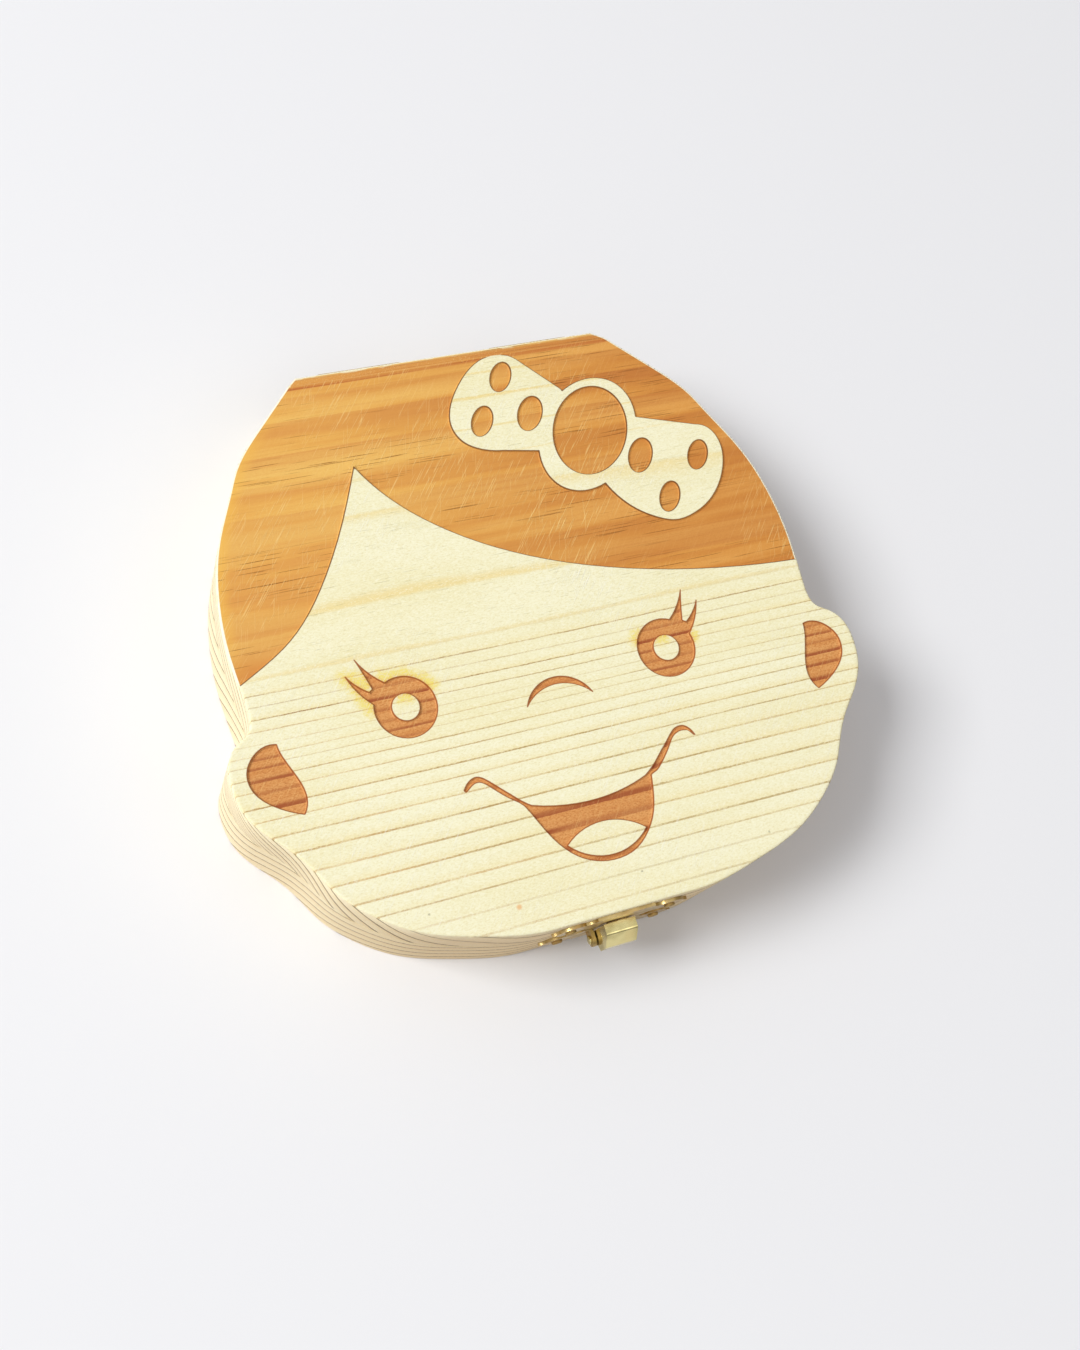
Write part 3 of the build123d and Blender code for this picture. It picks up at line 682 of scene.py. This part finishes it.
basePine = {
    "pithY": -64.0,
    "pithDepth": 74.0,  # below the floor
    "spacing": 3.3,
    "ragged": 0.07,
    "arch": 0.0011,  # how far the lines bend in plan
}
pineFinish = {"roughness": 0.56, "fibreRoughness": 0.1, "burntRoughness": 0.3, "gloss": 0.22, "bump": 0.03}
pineNoises = {
    # how fast each one varies along X, Y and Z, per mm, then its detail and its roughness
    "wander": ((0.012, 0.05, 0.05), 1.0),
    "shiver": ((0.35, 1.2, 1.2), 3.0, 0.6),
    "cloudy": ((0.02, 0.09, 0.09), 3.0),
    "grain": ((1.6, 5.5, 5.5), 3.0, 0.7),
    "fibre": ((0.25, 5.0, 5.0), 4.0, 0.65),
    "fine": ((2.2, 4.0, 4.0), 2.0, 0.6),
    "speckle": ((2.2, 4.4, 4.4), 3.0, 0.7),
    "breaks": ((0.12, 0.5, 0.5), 2.0),
    "heavy": ((0.035, 0.3, 0.3), 2.0),
    "palePores": ((0.22, 5.5, 5.5), 2.0),
    "bands": ((0.012, 0.17, 0.17), 3.0, 0.6),
    "streaks": ((0.03, 1.3, 1.3), 3.0, 0.6),
    "stripLines": ((0.04, 1.6, 1.6), 2.0),
    "pores": ((0.085, 5.2, 5.2), 2.0, 0.4),
    "porePatches": ((0.03, 0.12, 0.12), 2.0),
    "smoke": ((0.7, 1.5, 1.5), 3.0, 0.7),
    "chips": ((0.3, 1.0, 1.0), 2.0),
    "marks": ((0.2, 6.0, 6.0), 1.5, 0.4),
    "markPatches": ((0.035, 0.05, 0.05), 1.0),
}
ringShares = {
    # shares of one growth ring: where each wood starts, is full, starts to fade and is gone
    "early": (0.2, 0.93, 0.96, 1.0),
    "late": (0.865, 0.915, 0.965, 0.995),
    "sideLate": (0.79, 0.85, 0.95, 0.98),
    "figureLate": (0.6, 0.82, 0.96, 0.995),
    "baseLate": (0.82, 0.88, 0.95, 0.985),
}
woodColours = {
    "pale": (244, 240, 204),
    "paleWarm": (239, 232, 186),
    "paleGrain": (228, 216, 164),
    "paleLight": (252, 249, 224),
    "early": (240, 225, 168),
    "bandYellow": (238, 216, 146),
    "lineOrange": (206, 156, 96),
    "lineOlive": (186, 162, 100),
    "lineDark": (156, 114, 66),
    "sideLine": (78, 60, 30),
    "sideBand": (234, 215, 160),
    "hairLeft": (229, 171, 84),
    "hairLeftLight": (238, 194, 106),
    "hairLeftDark": (216, 150, 76),
    "hairRight": (210, 141, 63),
    "hairRightLight": (227, 166, 86),
    "hairRightDark": (192, 120, 56),
    "hairEdge": (243, 190, 84),
    "hairTip": (206, 130, 62),
    "planed": (188, 108, 52),
    "stripEdge": (243, 210, 126),
    "figure": (208, 139, 75),
    "figureLight": (224, 165, 100),
    "figureDark": (158, 82, 44),
    "pore": (146, 88, 32),
    "palePore": (176, 166, 116),
    "scratch": (246, 208, 134),
    "paleScratch": (254, 253, 242),
    "outline": (150, 88, 22),
    # the outline's colour where painted shade darkens walls that face the lamp
    "outlinePaintedShade": (104, 56, 12),
    "smallOutline": (152, 78, 26),
    "smoke": (238, 220, 118),
    "smokeDark": (228, 172, 76),
    # near-white rim at the board's edge: bare wood, and a painted highlight
    "bareRimAndHighlight": (255, 251, 228),
    "speck": (150, 146, 116),
    "resin": (234, 176, 112),
}


def ringPhase(paint, place):
    # counts the rings outwards from the pith: whole numbers are the ends of the late wood
    x, y, z = (paint.part(place, axis) for axis in range(3))
    wander = paint.noise(place, *pineNoises["wander"]) * 1.6 - 0.8
    shiver = paint.noise(place, *pineNoises["shiver"]) * 0.22 - 0.11
    across = y + x * lidPine["slope"] - lidPine["pithY"]
    deep = z - (faceTop - lidPine["pithDepth"])
    radius = (across * across + deep * deep) ** 0.5 + (wander + shiver) * lidPine["uneven"]
    crown = paint.node("ShaderNodeMath", {"operation": "GREATER_THAN"}, {0: across, 1: 0.0})

    nearest, farthest = lidPine["ringReach"]
    share = (radius - nearest) / (farthest - nearest)
    inner = lidPine["innerRings"]
    whole = len(inner) + len(lidPine["chinLines"]) + lidPine["spareRings"]
    phases, strengths = [], []
    for lines in (lidPine["chinLines"], lidPine["crownLines"]):
        rings = list(inner)
        rings += [hypot(line - lidPine["pithY"], lidPine["pithDepth"]) for line, strength in lines]
        spare = (farthest - rings[-1]) / lidPine["outerSpacing"]
        points = [((ring - nearest) / (farthest - nearest), (i + 1) / whole) for i, ring in enumerate(rings)]
        points = [(0.0, 0.0)] + points + [(1.0, min((len(rings) + spare) / whole, 1.0))]
        phase = paint.node("ShaderNodeFloatCurve", {"curve": points}, {"Value": share}) * whole
        stops = [((len(inner) + i) / whole, strength) for i, (line, strength) in enumerate(lines)]
        stops = [(0.0, lidPine["innerStrength"])] + stops
        phases.append(phase)
        strengths.append(paint.node("ShaderNodeValToRGB", {"stops": stops}, {0: phase / whole}))
    phase = phases[0] * (1 - crown) + phases[1] * crown
    return phase, strengths[0] * (1 - crown) + strengths[1] * crown


def pineAt(paint, place, phase, ragged):
    # what the pine of both boards is painted from
    noises = {name: paint.noise(place, *pineNoises[name]) for name in ("grain", "fibre", "speckle")}
    wood = SimpleNamespace(place=place, **noises)
    wood.cloudy = paint.rise(paint.noise(place, *pineNoises["cloudy"]), 0.35, 0.7)
    wood.within = paint.node("ShaderNodeMath", {"operation": "FRACT"}, {0: phase})
    wood.ragged = wood.within + (wood.grain - 0.5) * ragged
    wood.early = paint.between(wood.within, *ringShares["early"])
    return wood


def paleGround(paint, colours, wood):
    # warmer in clouds on the face, lighter on the sides
    pale = paint.mix(wood.cloudy * (0.75 - 0.4 * wood.side), colours["pale"], colours["paleWarm"])
    return paint.mix(wood.side * 0.6, pale, colours["paleLight"])


def speckled(paint, colours, wood, pale, darker, lighter):
    # fine darker and lighter specks all over
    pale = paint.mix(paint.rise(wood.speckle, 0.5, 0.68) * darker, pale, colours["paleGrain"])
    return paint.mix(paint.rise(1 - wood.speckle, 0.5, 0.68) * lighter, pale, colours["paleLight"])


def finishPine(paint, wood, colour, roughness, height):
    # the relief is weaker on the sides
    normal = paint.bump(height * (1 - 0.8 * wood.side), pineFinish["bump"])
    return paint.finish(Base_Color=colour, Roughness=roughness, Normal=normal,
                        Specular_IOR_Level=pineFinish["gloss"])


def lidBare(paint, colours, wood):
    # bare wood, on the face and the sides
    place, below, side = wood.place, wood.below, wood.side
    pale = paleGround(paint, colours, wood)
    pale = paint.mix(wood.early * wood.early * 0.75 * below * (1 - 0.6 * side), pale, colours["early"])
    softBand = paint.rise(wood.within + (wood.cloudy - 0.5) * 0.06, 0.84, 0.95)
    softBand = softBand * paint.fall(wood.within, 0.95, 1.0) * wood.strength
    pale = paint.mix(softBand * (1 - below), pale, colours["bandYellow"])
    pale = speckled(paint, colours, wood, pale, 0.6, 0.6)
    pores = paint.noise(paint.shifted(place, (0.0, 31.0, 0.0)), *pineNoises["palePores"])
    pores = paint.rise(pores, 0.64, 0.7) * (1 - below) * (1 - side)
    pale = paint.mix(pores * 0.45, pale, colours["palePore"])

    # the growth rings' lines: more orange at the left, darker higher up, and darkest on the sides
    leftness = paint.fall(wood.x, *lidPine["leftLines"])
    upper = paint.rise(wood.y, *lidPine["upperLines"])
    broken = wood.grain + paint.noise(place, *pineNoises["breaks"]) * 0.6
    broken = paint.rise(broken, 0.62, 0.92)
    line = paint.mix(0.35 + 0.45 * leftness - 0.35 * wood.heavy, colours["lineOlive"], colours["lineOrange"])
    line = paint.mix(upper * 0.5 + wood.heavy * 0.35, line, colours["lineDark"])
    onFace = wood.late * below * (1 - side)
    pale = paint.mix(onFace * (0.15 + 0.65 * broken + 0.2 * wood.heavy), pale, line)
    sideBand = paint.rise(wood.within, 0.35, 0.9) * side * wood.strength
    pale = paint.mix(sideBand * 0.35, pale, colours["sideBand"])
    onSide = paint.between(wood.ragged, *ringShares["sideLate"]) * side
    onSide = onSide * (0.2 + 0.8 * wood.strength) * (0.75 + 0.25 * broken)
    return paint.mix(onSide, pale, colours["sideLine"])


def lidHair(paint, colours, wood):
    # stained wood, paler at the left and redder at the right
    place, strip = wood.place, wood.strip
    right = paint.rise(wood.x, *lidPine["rightHair"])
    band = paint.noise(place, *pineNoises["bands"])
    light = paint.rise(band, 0.44, 0.62) * 0.75 + paint.rise(wood.streak, 0.55, 0.75) * 0.2
    light = light + paint.rise(wood.speckle, 0.5, 0.7) * 0.25
    dark = wood.early * 0.6 + paint.rise(1 - wood.streak, 0.5, 0.72) * 0.25
    dark = dark + paint.rise(1 - band, 0.5, 0.62) * 0.4 + paint.rise(1 - wood.speckle, 0.5, 0.7) * 0.2
    hair = paint.mix(right, colours["hairLeft"], colours["hairRight"])
    hair = paint.mix(light, hair, paint.mix(right, colours["hairLeftLight"], colours["hairRightLight"]))
    hair = paint.mix(dark, hair, paint.mix(right, colours["hairLeftDark"], colours["hairRightDark"]))

    # its lower left tip, and the glow inside its left edge
    tip = paint.fall(wood.y + wood.cloudy * 3.0, *lidPine["tipUp"])
    tip = tip * paint.fall(wood.x, *lidPine["tipAlong"])
    hair = paint.mix(tip * 0.6, hair, colours["hairTip"])
    glow = paint.fall(wood.edge, *lidPine["glowIn"]) * paint.fall(wood.x, *lidPine["glowAlong"])
    hair = paint.mix(glow * (0.55 - 0.45 * tip), hair, colours["hairEdge"])

    # the planed strip
    lines = paint.noise(place, *pineNoises["stripLines"])
    planed = paint.between(strip, *lidPine["crease"]) * (0.5 + 0.5 * paint.rise(wood.streak, 0.4, 0.55))
    planed = planed + paint.rise(strip, *lidPine["stripLines"]) * paint.rise(lines, 0.5, 0.6) * 0.7
    hair = paint.mix(planed, hair, colours["planed"])
    return paint.mix(paint.rise(strip, *lidPine["stripTop"]) * 0.75, hair, colours["stripEdge"])


def lidFigures(paint, colours, wood):
    # the wood of the eyes, nose, mouth and ear marks, stained browner
    lighter = paint.rise(wood.speckle + wood.streak * 0.5, 0.6, 1.0)
    figure = paint.mix(lighter, colours["figure"], colours["figureLight"])
    figure = paint.mix(paint.rise(1 - wood.speckle, 0.5, 0.66) * 0.3, figure, colours["figureDark"])
    late = paint.between(wood.ragged, *ringShares["figureLate"]) * (0.4 + 0.6 * wood.heavy) * wood.strength
    return paint.mix(late * 0.95 + wood.early * 0.15, figure, colours["figureDark"])


def scorch(paint, colours, wood, pale):
    # smoky patches round the eyes, nearest to the engraved edge
    smoky = paint.noise(wood.place, *pineNoises["smoke"])
    clear = 1.0
    for (middleX, middleY), reach, depth in lidPine["scorched"]:
        away = paint.awayFrom(wood.place, (middleX, middleY, faceTop)) / reach
        clear = (1 - paint.fall(away + smoky * 1.2, 0.9, 1.75) * depth) * clear
    near = paint.fall(wood.cut + smoky * 1.6, 1.3, 3.6)
    browned = paint.fall(wood.cut, 0.1, 0.7) * 0.5 + wood.late * 0.4
    browned = browned + paint.rise(1 - wood.speckle, 0.52, 0.64) * 0.5
    smoke = paint.mix(browned, colours["smoke"], colours["smokeDark"])
    return paint.mix((1 - clear) * near * (0.7 + 0.9 * paint.rise(wood.speckle, 0.35, 0.65)), pale, smoke)


def addSpecks(paint, colours, wood, pale):
    for (spotX, spotY), size, colour in lidPine["specks"]:
        away = paint.awayFrom(wood.place, (spotX, spotY, faceTop)) + wood.fine * 0.4
        pale = paint.mix(paint.fall(away, size * 0.4, size) * 0.75, pale, colours[colour])
    return pale


def cutterMarks(paint, wood):
    # short strokes in patches, and a few that cross them, fainter in the small figures
    strokes = []
    for lean, (low, high), offset, weight in lidPine["marks"]:
        turned = paint.turned(paint.shifted(wood.place, (offset, 0.0, 0.0)), -lean)
        strokes.append(paint.rise(paint.noise(turned, *pineNoises["marks"]), low, high) * weight)
    patches = paint.rise(paint.noise(wood.place, *pineNoises["markPatches"]), 0.38, 0.58)
    fromWorn = paint.awayFrom(wood.place, (*lidPine["worn"], faceTop))
    patches = patches + paint.fall(fromWorn, *lidPine["wornReach"])
    return (strokes[0] + strokes[1]) * (0.12 + 0.88 * patches) * (1 - 0.6 * wood.small * wood.stain)


def paintLidPine():
    paint = Paint(bpy.data.materials.new("lid pine"))
    colours = {name: sRgb(*colour) for name, colour in woodColours.items()}
    place = paint.place()
    phase, strength = ringPhase(paint, place)
    wood = pineAt(paint, place, phase, lidPine["ragged"])
    wood.x, wood.y = (paint.part(place, axis) for axis in range(2))
    wood.edge = paint.attribute("edgeDistance")
    wood.cut = paint.attribute("cutDistance")
    wood.small = paint.attribute("smallFigure")
    wood.strip = wood.y - bevelStart
    wood.side = paint.steep() * paint.fall(wood.edge, *lidPine["sideIn"])
    wood.below = paint.fall(wood.y, *lidPine["foreheadLines"])
    wood.strength = strength
    wood.early = wood.early * strength
    wood.late = paint.between(wood.ragged, *ringShares["late"]) * strength
    heavy = paint.noise(paint.shifted(place, (0.0, 70.0, 0.0)), *pineNoises["heavy"])
    wood.heavy = paint.rise(heavy, 0.36, 0.66)
    wood.fine = paint.noise(place, *pineNoises["fine"])
    wood.streak = paint.noise(place, *pineNoises["streaks"])

    pale = lidBare(paint, colours, wood)
    pale = scorch(paint, colours, wood, pale)
    pale = addSpecks(paint, colours, wood, pale)
    stained = paint.mix(wood.small, lidHair(paint, colours, wood), lidFigures(paint, colours, wood))
    patches = paint.noise(paint.shifted(place, (90.0, 0.0, 0.0)), *pineNoises["porePatches"])
    pores = paint.rise(paint.noise(place, *pineNoises["pores"]), 0.635, 0.685)
    pores = pores * (0.12 + 0.88 * paint.rise(patches, 0.44, 0.6)) * (1 - wood.small)
    stained = paint.mix(pores * 0.85, stained, colours["pore"])

    # the stain stops at the engraved walls and just short of the board's edge, which is left bare; the
    # near-white rim along the edge, on the unstained face as well, is a painted highlight
    inside = paint.fall(wood.cut, *lidPine["cutLine"])
    chips = paint.rise(paint.noise(place, *pineNoises["chips"]), 0.56, 0.62)
    chipped = paint.rise(wood.strip, *lidPine["stripTop"]) * chips
    wood.stain = inside * paint.rise(wood.edge, *lidPine["stainIn"]) * (1 - chipped * 0.85)
    # a near-white rim just inside the outline: bare wood where the stain stops, and a painted highlight on
    # the unstained face
    bareRimAndHighlight = paint.fall(wood.edge, *lidPine["bareRimAndHighlightIn"]) * (1 - wood.side) * inside
    colour = paint.mix(wood.stain, paint.mix(bareRimAndHighlight * 0.8, pale, colours["bareRimAndHighlight"]), stained)
    marks = cutterMarks(paint, wood)
    markColour = paint.mix(wood.stain, colours["paleScratch"], colours["scratch"])
    colour = paint.mix(marks * (0.3 + 0.22 * wood.stain), colour, markColour)

    # the engraving's burnt edge, with painted shade that makes it darkest where the wall faces the lamp, set
    # against that light
    paintedShadeTowardsLamp = paint.rise(paint.along(paint.normal(), lidPine["litFrom"]), -0.2, 0.5)
    burntEdgeAndShade = paint.between(wood.cut, *lidPine["burntLine"]) * paint.rise(wood.edge, *lidPine["burntIn"])
    burntEdgeAndShade = burntEdgeAndShade * paint.fall(wood.strip, *lidPine["burntUp"]) * (0.75 + 0.15 * paintedShadeTowardsLamp)
    outline = paint.mix(paintedShadeTowardsLamp, colours["outline"], colours["outlinePaintedShade"])
    colour = paint.mix(burntEdgeAndShade, colour, paint.mix(wood.small, outline, colours["smallOutline"]))

    roughness = pineFinish["roughness"] + pineFinish["fibreRoughness"] * wood.fibre
    roughness = roughness + pineFinish["burntRoughness"] * burntEdgeAndShade
    height = wood.fibre * 0.3 - wood.late * 0.5 * (1 - wood.stain) - pores * 0.6
    height = height + marks * 0.5 + wood.fine * 0.15
    return finishPine(paint, wood, colour, roughness, height)


def paintBasePine():
    paint = Paint(bpy.data.materials.new("base pine"))
    colours = {name: sRgb(*colour) for name, colour in woodColours.items()}
    place = paint.place()
    x, y, z = (paint.part(place, axis) for axis in range(3))
    wander = paint.noise(place, *pineNoises["wander"]) * 2.0
    shiver = paint.noise(place, *pineNoises["shiver"]) * 0.2
    across = y - basePine["pithY"] + x * x * basePine["arch"]
    deep = z + basePine["pithDepth"]
    radius = (across * across + deep * deep) ** 0.5 + wander + shiver
    wood = pineAt(paint, place, radius / basePine["spacing"], basePine["ragged"])
    wood.side = side = paint.steep()
    late = paint.between(wood.ragged, *ringShares["baseLate"])
    late = late * (0.5 + 0.5 * paint.rise(wood.grain, 0.3, 0.6))

    colour = paleGround(paint, colours, wood)
    earlyColour = paint.mix(side, colours["early"], colours["sideBand"])
    lineColour = paint.mix(side, colours["lineOlive"], colours["sideLine"])
    colour = paint.mix(wood.early * (0.4 - 0.05 * side), colour, earlyColour)
    colour = paint.mix(late * (0.7 + 0.25 * side), colour, lineColour)
    colour = speckled(paint, colours, wood, colour, 0.5, 0.4)
    colour = paint.mix(paint.rise(wood.fibre, 0.52, 0.8) * 0.22, colour, colours["early"])
    roughness = pineFinish["roughness"] + pineFinish["fibreRoughness"] * wood.fibre
    return finishPine(paint, wood, colour, roughness, wood.fibre * 0.35 - late * 0.5)


def setMaterial(node, material):
    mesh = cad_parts[node].data
    mesh.materials.clear()
    mesh.materials.append(material)


engravedLid.data.materials.append(paintLidPine())
setMaterial("base_tray", paintBasePine())


# Brass: pale plating, a little uneven, with dark patches that are partly painted reflection, and duller
# where it is thin and flat

brass = {
    # shade is the colour of the dark cloudy patches: uneven plating, and painted reflection
    "lever": {"colour": (226, 212, 152), "shade": (164, 150, 96), "worn": (214, 190, 128), "roughness": 0.1},
    "plates": {"colour": (198, 174, 118), "shade": (158, 130, 80), "worn": (188, 146, 86), "roughness": 0.3},
    "nails": {"colour": (178, 152, 98), "shade": (150, 122, 72), "worn": (170, 132, 76), "roughness": 0.5},
}
brassLook = {
    # how fast each pattern varies along X, Y and Z, per mm
    "cloudsAndReflections": (0.25, 0.25, 0.25),
    "smears": (0.8, 0.8, 0.5),
    "wear": (0.3, 0.3, 0.3),
    "wearShift": (20.0, 0.0, 0.0),
    "cloudRoughness": 0.14,
    "bump": 0.05,
}
polished = ("latch_lever", "latch_pin")


def paintBrass(name):
    paint = Paint(bpy.data.materials.new("brass " + name))
    plating = brass[name]
    place = paint.place()
    cloudy = paint.rise(paint.noise(place, brassLook["cloudsAndReflections"], 1.0), 0.36, 0.66)
    smears = paint.noise(place, brassLook["smears"])
    wear = paint.noise(paint.shifted(place, brassLook["wearShift"]), brassLook["wear"], 1.0)
    worn = paint.rise(wear, 0.44, 0.66)
    # dark cloudy patches: uneven plating, and painted reflection
    colour = paint.mix(cloudy * 0.6, sRgb(*plating["colour"]), sRgb(*plating["shade"]))
    colour = paint.mix(worn * 0.4, colour, sRgb(*plating["worn"]))
    roughness = plating["roughness"] + brassLook["cloudRoughness"] * cloudy
    return paint.finish(Base_Color=colour, Metallic=1.0, Roughness=roughness,
                        Normal=paint.bump(smears, brassLook["bump"]))


finishes = {name: paintBrass(name) for name in brass}
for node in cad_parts:
    if node not in ("base_tray", "lid_board"):
        kind = "nails" if "nails" in node else "lever" if node in polished else "plates"
        setMaterial(node, finishes[kind])
print("materials done")
